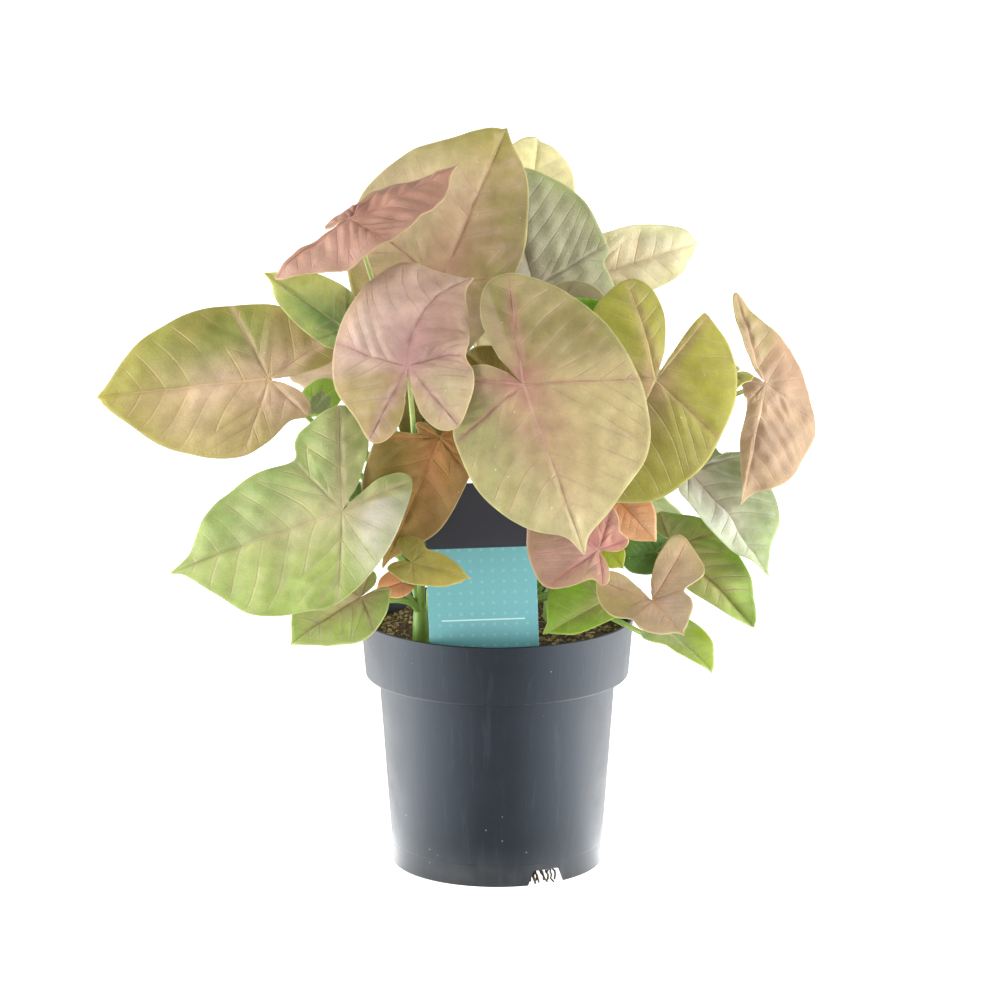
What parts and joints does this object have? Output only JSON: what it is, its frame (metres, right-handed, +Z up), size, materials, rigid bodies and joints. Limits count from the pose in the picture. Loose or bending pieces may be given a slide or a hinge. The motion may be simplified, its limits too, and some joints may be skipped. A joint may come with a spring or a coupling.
{
  "type": "potted syngonium",
  "caption": "Bushy arrowhead house plant with lobed pink, olive and green leaves on arching petioles, in a round nursery pot of soil with an upright plant tag.",
  "frame": {"origin": "under the middle of the whole plant's width and depth, on the surface that the pot stands on; the pot's axis is at X 0.0187, Y -0.0025", "axes": "+Z up, parallel to the pot's axis; -Y is the front, the side with the plant tag; +X to the right seen from the front"},
  "size_m": [0.3084, 0.2175, 0.328],
  "materials": {
    "pot": "dark grey injection-moulded plastic, satin with fine scuffs",
    "potting_mix": "dark brown damp peat and bark, matt and crumbly",
    "tag_card": "printed plastic card, teal below a dark band, satin",
    "petiole": "smooth green to pinkish stalk, satin",
    "blade_olive": "olive green leaf with pink veins, satin",
    "blade_rose": "dusty pink leaf with mauve veins, satin",
    "blade_orange": "orange to peach leaf, satin",
    "blade_pale": "pale cream and lime leaf, satin, translucent",
    "blade_green": "green leaf with pale or pink veins, satin"
  },
  "bodies": {
    "root": {"leaf_back_high": "blade_green", "leaf_back_left": "blade_green", "leaf_back_low": "blade_green", "leaf_back_low_left": "blade_green", "leaf_back_low_right": "blade_green", "leaf_back_middle": "blade_green", "leaf_back_right": "blade_green", "leaf_brown_curl": "blade_olive", "leaf_centre_shade": "blade_olive", "leaf_dark_right": "blade_green", "leaf_front_centre": "blade_olive", "leaf_front_pink": "blade_rose", "leaf_green_rim": "blade_green", "leaf_left_curl": "blade_green", "leaf_left_long": "blade_olive", "leaf_left_low": "blade_green", "leaf_left_rim": "blade_green", "leaf_left_shade": "blade_olive", "leaf_left_sinus": "blade_green", "leaf_lime_shade": "blade_pale", "leaf_middle_shade": "blade_olive", "leaf_olive_tip": "blade_olive", "leaf_orange_hanging": "blade_orange", "leaf_orange_point": "blade_orange", "leaf_pale_right": "blade_pale", "leaf_pale_top": "blade_pale", "leaf_pink_low": "blade_rose", "leaf_pink_upper": "blade_rose", "leaf_right_arch": "blade_green", "leaf_right_drop": "blade_orange", "leaf_right_green": "blade_green", "leaf_right_olive": "blade_olive", "leaf_right_pale": "blade_pale", "leaf_right_rim": "blade_green", "leaf_right_small": "blade_rose", "leaf_shiny_small": "blade_green", "leaf_soil_salmon": "blade_rose", "leaf_sprig_bright": "blade_green", "leaf_sprig_grey": "blade_pale", "leaf_top_grey": "blade_green", "leaf_top_large": "blade_olive", "plant_tag": "tag_card", "pot": "pot", "potting_mix": "potting_mix", "stem_a": "petiole", "stem_b": "petiole", "stem_c": "petiole", "stem_d": "petiole", "stem_e": "petiole"}
  },
  "joints": []
}
